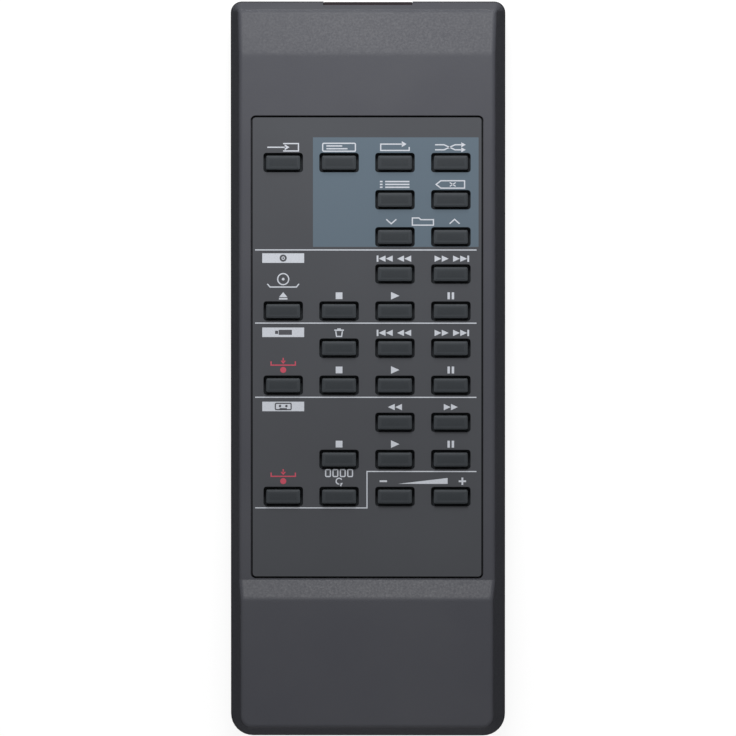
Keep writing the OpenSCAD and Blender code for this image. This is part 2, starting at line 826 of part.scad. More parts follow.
// Window that follows the lean of the front wall, with a flange inside the case
module ir_window() {
    half_h = window_h / 2 - window_gap;
    face_y = y_front - window_sink;
    color("#1c1012") translate([0, 0, part_z]) rotate([90, 0, 90]) {
        linear_extrude(window_w - 2 * window_gap, center = true) polygon([
            [window_seat_y - window_flange_t, -half_h],
            [face_y - half_h * tan(lower_lean), -half_h],
            [face_y, 0],
            [face_y - half_h * tan(upper_lean), half_h],
            [window_seat_y - window_flange_t, half_h],
        ]);
        linear_extrude(window_w + 2 * window_flange, center = true)
            translate([window_seat_y - window_flange_t, -half_h - window_flange])
                square([window_flange_t, 2 * half_h + 2 * window_flange]);
    }
}

// Keypad and board

module keypad_mat() {
    color("#3a3c40") translate([0, 0, mat_z]) linear_extrude(mat_t) difference() {
        translate([0, mat_y]) square([mat_w, mat_l], center = true);
        at_keys() square([mat_hole_w, mat_hole_l], center = true);
    }
}

// Upright profile with bevelled upper corners
module cap_profile(w, h) {
    polygon([
        [-w / 2, 0],
        [w / 2, 0],
        [w / 2, h - key_bevel_h],
        [w / 2 - key_bevel_w, h],
        [key_bevel_w - w / 2, h],
        [-w / 2, h - key_bevel_h],
    ]);
}

module key_cap() {
    intersection() {
        linear_extrude(key_cap_h) rounded_rect(key_w, key_l, key_corner_r);
        rotate([90, 0, 0]) linear_extrude(key_l + cut, center = true)
            cap_profile(key_w, key_cap_h);
        rotate([90, 0, 90]) linear_extrude(key_w + cut, center = true) intersection() {
            cap_profile(key_l, key_cap_h);
            translate([0, key_cap_h - key_crown_r]) circle(key_crown_r);
        }
    }
}

// Key: cap through the panel, skirt under the roof and contact post over the board
module key(k) {
    color("#3d4045") translate([key_place(k).x, key_place(k).y, key_z]) {
        translate([0, 0, key_skirt_h]) key_cap();
        difference() {
            block(key_skirt_w, key_skirt_l, key_skirt_h);
            translate([0, 0, -key_web_t])
                block(key_skirt_w - 2 * key_web_t, key_skirt_l - 2 * key_web_t, key_skirt_h);
        }
        block(key_post_w, key_post_l, key_skirt_h);
    }
}

module circuit_board() {
    color("#8a6a3c") translate([0, 0, board_z]) linear_extrude(board_t) difference() {
        union() {
            translate([0, mat_y]) square([mat_w, board_l], center = true);
            translate([0, board_front_y + board_tongue_l / 2 - cut / 2])
                square([board_tongue_w, board_tongue_l + cut], center = true);
        }
        for (x = [-1, 1])
            translate([x * tail_x, bay_front_y - contact_t / 2])
                square([tail_w + 2 * fit_gap, contact_t + 2 * fit_gap], center = true);
        for (x = [-1, 1])
            translate([x * lead_pitch / 2, lamp_lead_y]) circle(lead_t);
    }
}
lamp_lead_y = board_front_y + board_tongue_l / 2;

// Infrared lamp: domed body with a flange, and two leads bent up to the board
module ir_lamp() {
    color("#3b3a4a") {
        translate([0, lamp_base_y, part_z]) rotate([-90, 0, 0]) rotate_extrude() union() {
            square([lamp_flange_d / 2, lamp_flange_t]);
            square([lamp_d / 2, lamp_l - lamp_d / 2]);
            translate([0, lamp_l - lamp_d / 2]) intersection() {
                circle(lamp_d / 2);
                square(lamp_d);
            }
        }
        for (x = [-1, 1]) translate([x * lead_pitch / 2, 0, 0]) {
            lead_start = [-lead_t / 2, lamp_lead_y - lead_t / 2, part_z - lead_t / 2];
            span(lead_start, [lead_t / 2, lamp_base_y + stop_gap, part_z + lead_t / 2]);
            span(lead_start, [lead_t / 2, lamp_lead_y + lead_t / 2, mat_z]);
        }
    }
}

// Controller chip under the board, with gull-wing leads
module controller_chip() {
    lead_w = chip_lead_pitch / 3;
    color("#1b1b1d") translate([0, mat_y + mat_l / 4, board_z]) {
        translate([0, 0, -chip_t - stop_gap]) block(chip_w, chip_l, chip_t);
        for (x = [0, 1], i = [0:chip_leads - 1])
            mirror([x, 0, 0]) translate([chip_w / 2, (i - (chip_leads - 1) / 2) * chip_lead_pitch, 0])
                rotate([90, 0, 0]) linear_extrude(lead_w, center = true) polygon([
                    [-stop_gap, -chip_t / 2],
                    [lead_reach / 2, -chip_t / 2],
                    [lead_reach / 2, -lead_sheet],
                    [lead_reach, -lead_sheet],
                    [lead_reach, 0],
                    [lead_reach / 2 - lead_sheet, 0],
                    [lead_reach / 2 - lead_sheet, lead_sheet - chip_t / 2],
                    [-stop_gap, lead_sheet - chip_t / 2],
                ]);
    }
}

module ceramic_resonator() {
    color("#b9772e") translate([mat_w / 4, mat_y + mat_l / 4, board_z - resonator_h])
        linear_extrude(resonator_h) rounded_rect(resonator_w, resonator_t, resonator_t / 3);
}

// Electrolytic capacitor lying under the board, with its crimp groove
module electrolytic_capacitor() {
    groove = cap_d / 20;
    color("#23304a") translate([-mat_w / 4, mat_y + mat_l / 4 - cap_l / 2, board_z - cap_d / 2])
        rotate([-90, 0, 0]) rotate_extrude() difference() {
            square([cap_d / 2, cap_l]);
            translate([cap_d / 2, cap_l / 6]) circle(groove);
        }
}

// Transistor with one flat side
module driver_transistor() {
    color("#19191b") translate([lamp_flange_d + transistor_d / 2, lamp_lead_y, board_z - transistor_h])
        intersection() {
            cylinder(d = transistor_d, h = transistor_h);
            translate([0, transistor_d / 8, 0]) block(transistor_d, transistor_d, transistor_h);
        }
}

module chip_resistors() {
    color("#26262a") for (column = [0, 1], row = [0, 1])
        translate([-mat_w / 8 - 2 * column * resistor_l, mat_y + 3 * row * resistor_w, board_z - resistor_t])
            block(resistor_l, resistor_w, resistor_t);
}

// Cells and contacts

// Cell along +Y from its flat end, with its cap at the far end
module cell() {
    shoulder = cell_d / 14;
    rotate([-90, 0, 0]) rotate_extrude() union() {
        square([cell_d / 2 - shoulder, cell_l - cell_cap_h]);
        translate([0, shoulder]) square([cell_d / 2, cell_l - cell_cap_h - 2 * shoulder]);
        translate([cell_d / 2 - shoulder, shoulder]) circle(shoulder);
        translate([cell_d / 2 - shoulder, cell_l - cell_cap_h - shoulder]) circle(shoulder);
        square([cell_cap_d / 2, cell_l]);
    }
}

module cell_left() {
    color("#2e5f8a") translate([-cell_x, bay_front_y - contact_t - cell_l, cell_axis_z]) cell();
}
module cell_right() {
    color("#2e5f8a") translate([cell_x, bay_rear_y + contact_t + cell_l, cell_axis_z]) rotate(180) cell();
}

// Contact plate against the bay's front wall, with its tail up to the board
module front_plate(x) {
    tail_z = cell_axis_z + contact_h / 2;
    color("#c9cacb") {
        translate([x * cell_x, bay_front_y - contact_t / 2, cell_axis_z - contact_h / 2])
            block(contact_w, contact_t, contact_h);
        translate([x * (tail_x - tail_w / 2), bay_front_y - contact_t / 2, tail_z - tail_w])
            block(2 * tail_w, contact_t, tail_w);
        translate([x * tail_x, bay_front_y - contact_t / 2, tail_z - tail_w])
            block(tail_w, contact_t, mat_z - tail_z + tail_w);
    }
}
module front_positive_plate() { front_plate(-1); }
module front_negative_plate() { front_plate(1); }

module rear_bridge_plate() {
    color("#c9cacb") translate([0, bay_rear_y + contact_t / 2, cell_axis_z - contact_h / 2])
        block(2 * cell_x + contact_w, contact_t, contact_h);
}

module contact_spring() {
    color("#d2d3d4") wire_tube(fitted_spring, spring_wire);
}
module front_spring() {
    translate([cell_x, bay_front_y - contact_t, cell_axis_z]) rotate([90, 0, 0]) contact_spring();
}
module rear_spring() {
    translate([-cell_x, bay_rear_y + contact_t, cell_axis_z]) rotate([-90, 0, 0]) contact_spring();
}

// Pan-head screws that join the front of the two halves
module case_screws() {
    head_round = screw_head_h / 3;
    color("#5a5b5e") for (x = [-1, 1])
        translate([x * screw_x, screw_y, screw_seat_z]) rotate_extrude() union() {
            translate([0, -screw_head_h + head_round]) square([screw_head_r, screw_head_h - head_round]);
            translate([0, -screw_head_h]) square([screw_head_r - head_round, screw_head_h]);
            translate([screw_head_r - head_round, -screw_head_h + head_round]) circle(head_round);
            polygon([[0, -head_round], [screw_r, -head_round], [screw_r, screw_l - screw_r], [0, screw_l]]);
        }
}

top_case();
face_panel();
panel_adhesive();
ir_window();
bottom_case();
battery_door();
keypad_mat();
circuit_board();
ir_lamp();
controller_chip();
ceramic_resonator();
electrolytic_capacitor();
driver_transistor();
chip_resistors();
cell_left();
cell_right();
front_positive_plate();
front_negative_plate();
front_spring();
rear_bridge_plate();
rear_spring();
case_screws();
for (k = KEYS) key(k);
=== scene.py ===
import math

import bmesh
import bpy
import numpy as np
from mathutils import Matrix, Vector


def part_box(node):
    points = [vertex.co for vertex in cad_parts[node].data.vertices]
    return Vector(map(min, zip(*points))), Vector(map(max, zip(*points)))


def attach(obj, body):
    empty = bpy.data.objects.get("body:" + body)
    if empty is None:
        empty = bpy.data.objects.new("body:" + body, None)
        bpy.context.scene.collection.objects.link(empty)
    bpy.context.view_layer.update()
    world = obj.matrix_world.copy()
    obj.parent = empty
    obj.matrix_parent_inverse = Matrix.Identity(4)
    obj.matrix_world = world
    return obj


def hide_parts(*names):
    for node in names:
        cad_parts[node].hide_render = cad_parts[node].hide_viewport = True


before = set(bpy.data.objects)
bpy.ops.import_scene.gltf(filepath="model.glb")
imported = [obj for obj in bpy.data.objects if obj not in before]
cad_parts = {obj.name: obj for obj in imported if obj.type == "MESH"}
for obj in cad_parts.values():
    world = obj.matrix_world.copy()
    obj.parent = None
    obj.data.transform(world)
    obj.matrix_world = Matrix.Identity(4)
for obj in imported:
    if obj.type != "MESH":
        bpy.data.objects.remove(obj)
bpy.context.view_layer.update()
mm = 0.001
print("frame loaded:", len(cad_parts), "nodes")

scene = bpy.context.scene
scene.view_settings.view_transform = "Standard"


# Camera: far above the handset, its nose at the top of the picture, a hair to the right and towards the nose
photoView = dict(lens=500, sensor=36, fieldMm=140.26, aimYMm=0.155, aimZMm=9.6, leanX=0.0185, leanY=0.0332,
                 farLimit=20)
viewDistance = photoView["lens"] * photoView["fieldMm"] / photoView["sensor"] * mm
cameraData = bpy.data.cameras.new("photo_camera")
cameraData.lens = photoView["lens"]
cameraData.sensor_width = photoView["sensor"]
cameraData.clip_end = photoView["farLimit"]
camera = bpy.data.objects.new("photo_camera", cameraData)
camera.location = (
    photoView["leanX"] * viewDistance,
    photoView["aimYMm"] * mm + photoView["leanY"] * viewDistance,
    photoView["aimZMm"] * mm + viewDistance)
camera.rotation_euler = (-math.atan(photoView["leanY"]), math.atan(photoView["leanX"]), 0)
scene.collection.objects.link(camera)
scene.camera = camera
print("camera set", round(viewDistance, 3), "m above the parting line")


def keyCentre(name):  # middle of a key in plan
    low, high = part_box(name)
    return (low.x + high.x) / 2, (low.y + high.y) / 2


def hexToLinear(code):  # sRGB hex to linear light: below 0.04045 a straight line, above it a power of 2.4
    channels = np.array([int(code[i:i + 2], 16) for i in (1, 3, 5)]) / 255
    linear = np.where(channels <= 0.04045, channels / 12.92, ((channels + 0.055) / 1.055) ** 2.4)
    return (*linear.tolist(), 1.0)


def addNode(owner, kind, settings=None, inputs=None):  # an input that is a socket is linked, any other is set
    node = owner.node_tree.nodes.new(kind)
    for name, value in (settings or {}).items():
        setattr(node, name, value)
    for name, value in (inputs or {}).items():
        if isinstance(value, bpy.types.NodeSocket):
            owner.node_tree.links.new(value, node.inputs[name])
        else:
            node.inputs[name].default_value = value
    return node


def newMaterial(name):  # a material with no nodes yet
    material = bpy.data.materials.new(name)
    material.use_nodes = True
    material.node_tree.nodes.clear()
    return material


def wireShader(material, shaderInputs):  # the shader that ends a material
    shader = addNode(material, "ShaderNodeBsdfPrincipled", inputs=shaderInputs)
    addNode(material, "ShaderNodeOutputMaterial", inputs={"Surface": shader.outputs[0]})


mixFrom, mixTo, mixed = 6, 7, 2  # where a Mix node has its two colours and what they give
grainLow, grainHigh = 0.3, 0.7  # most of a grain's height lies between these


def addSkin(material, finish):
    # Grain that stands up as bump and, where the finish gives them, two close tones in broad clouds and a
    # roughness that rises with the grain. It reads Object coordinates.
    place = addNode(material, "ShaderNodeTexCoord").outputs["Object"]
    grain = addNode(material, "ShaderNodeTexNoise", inputs={
        "Vector": place, "Scale": 1 / (finish["grainMm"] * mm), "Detail": 2.0, "Roughness": 0.55})
    bump = addNode(material, "ShaderNodeBump", inputs={
        "Height": grain.outputs[0], "Distance": finish["grainHeightMm"] * mm, "Strength": 1.0})
    skin = {"Normal": bump.outputs[0]}
    if "toneMm" in finish:
        cloud = addNode(material, "ShaderNodeTexNoise", inputs={
            "Vector": place, "Scale": 1 / (finish["toneMm"] * mm), "Detail": 3.0})
        tone = addNode(material, "ShaderNodeMix", {"data_type": "RGBA"}, {
            0: cloud.outputs[0], mixFrom: hexToLinear(finish["dark"]), mixTo: hexToLinear(finish["light"])})
        skin["Base Color"] = tone.outputs[mixed]
    if "rough" in finish:
        smoothest, roughest = finish["rough"]
        rough = addNode(material, "ShaderNodeMapRange", inputs={
            "Value": grain.outputs[0], "From Min": grainLow, "From Max": grainHigh,
            "To Min": smoothest, "To Max": roughest})
        skin["Roughness"] = rough.outputs[0]
    return place, skin


def grainedMaterial(name, finish, shaderInputs):  # a material that is skin alone
    material = newMaterial(name)
    wireShader(material, {**addSkin(material, finish)[1], **shaderInputs})
    return material


# Moulded ABS with a spark-eroded skin: charcoal, matt, a soft broad sheen and a faint tooth.
# The real tooth is about 0.06 mm; it is drawn at 0.4 mm so that it shows in the render.
# A thin dark band of painted shade lies where the two halves meet, fading away from the parting line.
absFinish = dict(dark="#3c3d44", light="#47484d", toneMm=18, grainMm=0.4, grainHeightMm=0.008,
                 rough=(0.44, 0.56), grime="#1a1a1c", grimeMm=0.35, grimeFadeMm=1.5, grimeRough=0.85)
windowLow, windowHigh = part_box("ir_window")
partingZ = (windowLow.z + windowHigh.z) / 2  # the window sits across the parting line
grimeEnd = (absFinish["grimeMm"] + absFinish["grimeFadeMm"]) * mm
mouldedAbs = newMaterial("moulded_abs_charcoal")
absPlace, absSkin = addSkin(mouldedAbs, absFinish)
# Painted shade: the colour darkens and the skin grows rougher towards the parting line
absHeight = addNode(mouldedAbs, "ShaderNodeSeparateXYZ", inputs={0: absPlace}).outputs["Z"]
offParting = addNode(mouldedAbs, "ShaderNodeMath", {"operation": "SUBTRACT"}, {0: absHeight, 1: partingZ})
fromParting = addNode(mouldedAbs, "ShaderNodeMath", {"operation": "ABSOLUTE"}, {0: offParting.outputs[0]})
grimy = addNode(mouldedAbs, "ShaderNodeMapRange", inputs={
    "Value": fromParting.outputs[0], "From Min": absFinish["grimeMm"] * mm, "From Max": grimeEnd,
    "To Min": 1.0, "To Max": 0.0})
partingShaded = addNode(mouldedAbs, "ShaderNodeMix", {"data_type": "RGBA"}, {
    0: grimy.outputs[0], mixFrom: absSkin["Base Color"], mixTo: hexToLinear(absFinish["grime"])})
grimeRough = addNode(mouldedAbs, "ShaderNodeMath", {"operation": "MULTIPLY"}, {
    0: grimy.outputs[0], 1: absFinish["grimeRough"]})
partingShadedRough = addNode(mouldedAbs, "ShaderNodeMath", {"operation": "MAXIMUM"}, {
    0: absSkin["Roughness"], 1: grimeRough.outputs[0]})
wireShader(mouldedAbs, {
    **absSkin, "Base Color": partingShaded.outputs[mixed], "Roughness": partingShadedRough.outputs[0],
    "IOR": 1.5, "Specular IOR Level": 0.25})

# Polycarbonate overlay with a printed, satin face: grey, smoother than the case and with hardly any sheen.
# A blue-grey field is printed behind the upper keys, on the face alone and not on the cut edges.
panelFinish = dict(dark="#494a4e", light="#4f5155", toneMm=25, grainMm=0.22, grainHeightMm=0.003,
                   rough=(0.4, 0.5), field="#5e6b76", fieldLeftMm=0.35, fieldRightMm=0.55, fieldTopMm=4.78,
                   fieldFootMm=1.9, faceDeepMm=0.02)
panelLow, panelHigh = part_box("face_panel")
panelTop = panelHigh.z
fieldLeft = (keyCentre("key_input")[0] + keyCentre("key_display")[0]) / 2 + panelFinish["fieldLeftMm"] * mm
fieldRight = panelHigh.x - panelFinish["fieldRightMm"] * mm
fieldTop = keyCentre("key_display")[1] + panelFinish["fieldTopMm"] * mm
fieldFoot = keyCentre("key_folder_up")[1] - panelFinish["fieldFootMm"] * mm
printedPanel = newMaterial("printed_polycarbonate")
panelPlace, panelSkin = addSkin(printedPanel, panelFinish)
panelAxes = addNode(printedPanel, "ShaderNodeSeparateXYZ", inputs={0: panelPlace})
inWidth = addNode(printedPanel, "ShaderNodeMath", {"operation": "COMPARE"}, {
    0: panelAxes.outputs["X"], 1: (fieldLeft + fieldRight) / 2, 2: (fieldRight - fieldLeft) / 2})
inLength = addNode(printedPanel, "ShaderNodeMath", {"operation": "COMPARE"}, {
    0: panelAxes.outputs["Y"], 1: (fieldTop + fieldFoot) / 2, 2: (fieldTop - fieldFoot) / 2})
onFace = addNode(printedPanel, "ShaderNodeMath", {"operation": "GREATER_THAN"}, {
    0: panelAxes.outputs["Z"], 1: panelTop - panelFinish["faceDeepMm"] * mm})
inPlan = addNode(printedPanel, "ShaderNodeMath", {"operation": "MULTIPLY"}, {
    0: inWidth.outputs[0], 1: inLength.outputs[0]})
inField = addNode(printedPanel, "ShaderNodeMath", {"operation": "MULTIPLY"}, {
    0: inPlan.outputs[0], 1: onFace.outputs[0]})
faceTone = addNode(printedPanel, "ShaderNodeMix", {"data_type": "RGBA"}, {
    0: inField.outputs[0], mixFrom: panelSkin["Base Color"], mixTo: hexToLinear(panelFinish["field"])})
wireShader(printedPanel, {
    **panelSkin, "Base Color": faceTone.outputs[mixed], "IOR": 1.55, "Specular IOR Level": 0.06})

# Silicone rubber, moulded: near black with a cool cast, very matt, with a painted highlight that makes the
# bevels paler.
# The painted highlight runs round a key's cap, which stands on a wider skirt.
rubberFinish = dict(dark="#22262a", light="#282c30", toneMm=3, grainMm=0.2, grainHeightMm=0.004,
                    rough=(0.62, 0.76), rim="#33373b", rimMm=0.5, fadeMm=0.5, rimDeepMm=0.35,
                    capWidthMm=6.4, capLengthMm=2.6)
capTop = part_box("key_input")[1].z
capX, capY = keyCentre("key_input")
columnPitch = keyCentre("key_display")[0] - capX
rowPitch = keyCentre("key_repeat")[1] - keyCentre("key_program")[1]
halfFade = rubberFinish["fadeMm"] * mm / 2
siliconeRubber = newMaterial("silicone_rubber")
rubberPlace, rubberSkin = addSkin(siliconeRubber, rubberFinish)
rubberAxes = addNode(siliconeRubber, "ShaderNodeSeparateXYZ", inputs={0: rubberPlace})
# Painted highlight: a paler band round the top of each cap, found from the distance to the middle of the
# nearest key
rimParts = []
for axis, middle, pitch, sizeMm in (("X", capX, columnPitch, rubberFinish["capWidthMm"]),
                                    ("Y", capY, rowPitch, rubberFinish["capLengthMm"])):
    # Distance from the middle of the nearest key is a triangle wave with the pitch of the keys
    shifted = addNode(siliconeRubber, "ShaderNodeMath", {"operation": "SUBTRACT"}, {
        0: rubberAxes.outputs[axis], 1: middle})
    reach = addNode(siliconeRubber, "ShaderNodeMath", {"operation": "PINGPONG"}, {
        0: shifted.outputs[0], 1: pitch / 2})
    rimStart = sizeMm * mm / 2 - rubberFinish["rimMm"] * mm
    rimParts.append(addNode(siliconeRubber, "ShaderNodeMapRange", inputs={
        "Value": reach.outputs[0], "From Min": rimStart - halfFade, "From Max": rimStart + halfFade,
        "To Min": 0.0, "To Max": 1.0}))
onBevelHighlight = addNode(siliconeRubber, "ShaderNodeMath", {"operation": "MAXIMUM"}, {
    0: rimParts[0].outputs[0], 1: rimParts[1].outputs[0]})
onTop = addNode(siliconeRubber, "ShaderNodeMath", {"operation": "GREATER_THAN"}, {
    0: rubberAxes.outputs["Z"], 1: capTop - rubberFinish["rimDeepMm"] * mm})
paintedBevelHighlight = addNode(siliconeRubber, "ShaderNodeMath", {"operation": "MULTIPLY"}, {
    0: onBevelHighlight.outputs[0], 1: onTop.outputs[0]})
keyTone = addNode(siliconeRubber, "ShaderNodeMix", {"data_type": "RGBA"}, {
    0: paintedBevelHighlight.outputs[0], mixFrom: rubberSkin["Base Color"], mixTo: hexToLinear(rubberFinish["rim"])})
wireShader(siliconeRubber, {
    **rubberSkin, "Base Color": keyTone.outputs[mixed], "IOR": 1.43, "Specular IOR Level": 0.36})

# Acrylic adhesive sheet under the panel: near black and dull, seen only as the dark line in the gap round it;
# its near-black colour is painted shade in that gap
adhesiveGapShadeFinish = dict(dark="#1b1b1d", light="#242426", toneMm=4, grainMm=0.3, grainHeightMm=0.01)
adhesiveGapShade = grainedMaterial("adhesive_gap_shade", adhesiveGapShadeFinish, {
    "IOR": 1.47, "Specular IOR Level": 0.1, "Roughness": 0.8})

# Infrared-pass polycarbonate, polished: almost black with a wine tint and slightly soft reflections
windowFinish = dict(dark="#241a1f", light="#2b1f25", toneMm=9, grainMm=2.5, grainHeightMm=0.002)
filterPolycarbonate = grainedMaterial("infrared_polycarbonate", windowFinish, {
    "IOR": 1.58, "Roughness": 0.12})

# Paper phenolic board, punched: tan, faintly fibrous, semi-matt
boardFinish = dict(dark="#8a673a", light="#9c7845", toneMm=4, grainMm=0.25, grainHeightMm=0.006,
                   rough=(0.45, 0.6))
phenolicBoard = grainedMaterial("paper_phenolic", boardFinish, {"IOR": 1.55})

# Moulded epoxy packages: black, dull, slightly grainy from the filler
epoxyFinish = dict(dark="#17171a", light="#1f1f22", toneMm=1.5, grainMm=0.12, grainHeightMm=0.004)
mouldedEpoxy = grainedMaterial("moulded_epoxy", epoxyFinish, {"IOR": 1.55, "Roughness": 0.6})

# Dipped epoxy coat of the resonator: mustard, glossy, slightly lumpy
dippedFinish = dict(dark="#b06f22", light="#c5842f", toneMm=2, grainMm=0.9, grainHeightMm=0.02)
dippedEpoxy = grainedMaterial("dipped_epoxy", dippedFinish, {"IOR": 1.55, "Roughness": 0.25})

# Shrunk vinyl sleeve of the capacitor: dark blue, soft gloss
sleeveFinish = dict(dark="#212b47", light="#2a3554", toneMm=3, grainMm=0.6, grainHeightMm=0.008)
vinylSleeve = grainedMaterial("shrunk_vinyl", sleeveFinish, {"IOR": 1.53, "Roughness": 0.32})

# Cast epoxy lens of the lamp: smoky, polished by its mould
lensFinish = dict(dark="#3a3846", light="#454355", toneMm=2, grainMm=1.5, grainHeightMm=0.003)
castLens = grainedMaterial("cast_epoxy_lens", lensFinish, {"IOR": 1.54, "Roughness": 0.1})

# Nickel-plated spring steel: warm silver, finely grained from drawing and stamping, clouded by handling
nickelFinish = dict(dark="#b3aea3", light="#cfcbc2", toneMm=1.2, grainMm=0.15, grainHeightMm=0.003,
                    rough=(0.24, 0.38))
nickelSteel = grainedMaterial("nickel_plated_steel", nickelFinish, {"Metallic": 1.0})

# Black zinc on the screws: dark metal with a faint oily gloss
zincFinish = dict(dark="#37373b", light="#4a4a4f", toneMm=0.8, grainMm=0.12, grainHeightMm=0.004,
                  rough=(0.3, 0.45))
blackZinc = grainedMaterial("black_zinc_steel", zincFinish, {"Metallic": 1.0})

# Printed foil sleeve of a dry cell: silver grey, dark near the positive end, with bare steel at both ends
cellFinish = dict(pale="#b9bcc0", dark="#34383f", line="#d9dcdf", grainMm=0.5, grainHeightMm=0.004,
                  darkShare=0.3, lineMm=0.8, lineOffMm=0.96, endMm=0.5)


def cellSleeve(name, node, plusEnd):  # bands across the cell by its distance from the positive end
    material = newMaterial(name)
    place, skin = addSkin(material, cellFinish)
    low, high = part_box(node)
    length = high.y - low.y
    bandEdge = cellFinish["darkShare"] * length
    along = addNode(material, "ShaderNodeSeparateXYZ", inputs={0: place}).outputs["Y"]
    fromPlus = addNode(material, "ShaderNodeMath", {"operation": "SUBTRACT"}, {
        0: along, 1: high.y if plusEnd > 0 else low.y})
    reach = addNode(material, "ShaderNodeMath", {"operation": "ABSOLUTE"}, {0: fromPlus.outputs[0]})
    inDark = addNode(material, "ShaderNodeMath", {"operation": "LESS_THAN"}, {
        0: reach.outputs[0], 1: bandEdge})
    inLine = addNode(material, "ShaderNodeMath", {"operation": "COMPARE"}, {
        0: reach.outputs[0], 1: bandEdge + cellFinish["lineOffMm"] * mm, 2: cellFinish["lineMm"] * mm / 2})
    inSleeve = addNode(material, "ShaderNodeMath", {"operation": "COMPARE"}, {
        0: along, 1: (low.y + high.y) / 2, 2: length / 2 - cellFinish["endMm"] * mm})
    bands = addNode(material, "ShaderNodeMix", {"data_type": "RGBA"}, {
        0: inDark.outputs[0],
        mixFrom: hexToLinear(cellFinish["pale"]), mixTo: hexToLinear(cellFinish["dark"])})
    lined = addNode(material, "ShaderNodeMix", {"data_type": "RGBA"}, {
        0: inLine.outputs[0], mixFrom: bands.outputs[mixed], mixTo: hexToLinear(cellFinish["line"])})
    ends = addNode(material, "ShaderNodeMix", {"data_type": "RGBA"}, {
        0: inSleeve.outputs[0], mixFrom: hexToLinear(nickelFinish["light"]), mixTo: lined.outputs[mixed]})
    bare = addNode(material, "ShaderNodeMath", {"operation": "SUBTRACT"}, {0: 1.0, 1: inSleeve.outputs[0]})
    wireShader(material, {
        **skin, "Base Color": ends.outputs[mixed], "Metallic": bare.outputs[0],
        "IOR": 1.5, "Roughness": 0.28})
    return material


# Screen ink: opaque, semi-matt, a film thick enough to catch a little light, with fine thinner spots
inkFinish = dict(white="#c3c7cf", red="#b84256", dark="#3a3b41", speckMm=0.18, speckLow=0.32, speckHigh=0.42,
                 thinShare=0.82, heightMm=0.025)


def screenInk(name, colour):
    material = newMaterial(name)
    place = addNode(material, "ShaderNodeTexCoord").outputs["Object"]
    speck = addNode(material, "ShaderNodeTexNoise", inputs={
        "Vector": place, "Scale": 1 / (inkFinish["speckMm"] * mm), "Detail": 1.0})
    cover = addNode(material, "ShaderNodeMapRange", inputs={
        "Value": speck.outputs[0], "From Min": inkFinish["speckLow"], "From Max": inkFinish["speckHigh"],
        "To Min": 0.0, "To Max": 1.0})
    full = hexToLinear(colour)
    thin = tuple(inkFinish["thinShare"] * channel for channel in full[:3]) + (1.0,)
    film = addNode(material, "ShaderNodeMix", {"data_type": "RGBA"}, {
        0: cover.outputs[0], mixFrom: thin, mixTo: full})
    wireShader(material, {"Base Color": film.outputs[mixed], "IOR": 1.5, "Roughness": 0.5})
    return material


whiteInk = screenInk("screen_ink_white", inkFinish["white"])
redInk = screenInk("screen_ink_red", inkFinish["red"])
darkInk = screenInk("screen_ink_dark", inkFinish["dark"])
print("materials made:", len(bpy.data.materials))


# Finishes of the CAD pieces; every other node is a key or the keypad mat
finishes = {
    "top_case": mouldedAbs, "bottom_case": mouldedAbs, "battery_door": mouldedAbs,
    "face_panel": printedPanel, "panel_adhesive": adhesiveGapShade, "ir_window": filterPolycarbonate,
    "circuit_board": phenolicBoard,
    "ir_lamp": castLens, "controller_chip": mouldedEpoxy, "driver_transistor": mouldedEpoxy,
    "chip_resistors": mouldedEpoxy, "ceramic_resonator": dippedEpoxy, "electrolytic_capacitor": vinylSleeve,
    "front_positive_plate": nickelSteel, "front_negative_plate": nickelSteel, "front_spring": nickelSteel,
    "rear_bridge_plate": nickelSteel, "rear_spring": nickelSteel, "case_screws": blackZinc,
    "cell_left": cellSleeve("foil_sleeve_left", "cell_left", 1),
    "cell_right": cellSleeve("foil_sleeve_right", "cell_right", -1),
}
for name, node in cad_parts.items():
    for materialSlot in node.material_slots:
        materialSlot.material = finishes.get(name, siliconeRubber)
print("CAD pieces dressed:", len(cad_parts))


# Ink marks are drawn in millimetres round their own middle, as filled plates and as lines of one width
stroke = 0.23
winding = dict(headLength=1.3, headWidth=1.2, headStep=0.68, pairStep=1.75, stopStep=3.3, stopWidth=0.34)


def plate(points):
    return "plate", np.array(points, float), True, 0


def line(points, closed=False, width=stroke):
    return "line", np.array(points, float), closed, width


def circle(x, y, radius, start=0, end=360, count=28):  # points on an arc
    angle = np.radians(np.linspace(start, end, count, endpoint=end - start < 360))
    return np.stack([x + radius * np.cos(angle), y + radius * np.sin(angle)], 1)


def bar(x, y, width, height):
    return plate([(x - width / 2, y - height / 2), (x + width / 2, y - height / 2),
                  (x + width / 2, y + height / 2), (x - width / 2, y + height / 2)])


def dot(x, y, radius):
    return plate(circle(x, y, radius))


def arrowHead(x, y, length, width, aim):  # triangle whose tip points at aim degrees
    tip = np.array([np.cos(np.radians(aim)), np.sin(np.radians(aim))])
    side = np.array([-tip[1], tip[0]])
    return plate(np.array([x, y]) + np.array([tip * length / 2, -tip * length / 2 + side * width / 2,
                                              -tip * length / 2 - side * width / 2]))


def frameLine(x, y, width, height, radius=0.2):  # closed rounded rectangle
    reachX, reachY = width / 2 - radius, height / 2 - radius
    corners = [circle(x + sideX * reachX, y + sideY * reachY, radius, start, start + 90, count=5)
               for sideX, sideY, start in ((1, 1, 0), (-1, 1, 90), (-1, -1, 180), (1, -1, 270))]
    return line(np.concatenate(corners), closed=True)


def doubleHeads(x, aim):  # two arrow heads in a row
    return [arrowHead(x + side * winding["headStep"], 0, winding["headLength"], winding["headWidth"], aim)
            for side in (-1, 1)]


def skip(side):  # two pairs of arrow heads with a stop bar on the outer end; side is -1 back, 1 forward
    aim = 0 if side > 0 else 180
    stopBar = bar(side * winding["stopStep"], 0, winding["stopWidth"], winding["headWidth"])
    return doubleHeads(-winding["pairStep"], aim) + doubleHeads(winding["pairStep"], aim) + [stopBar]


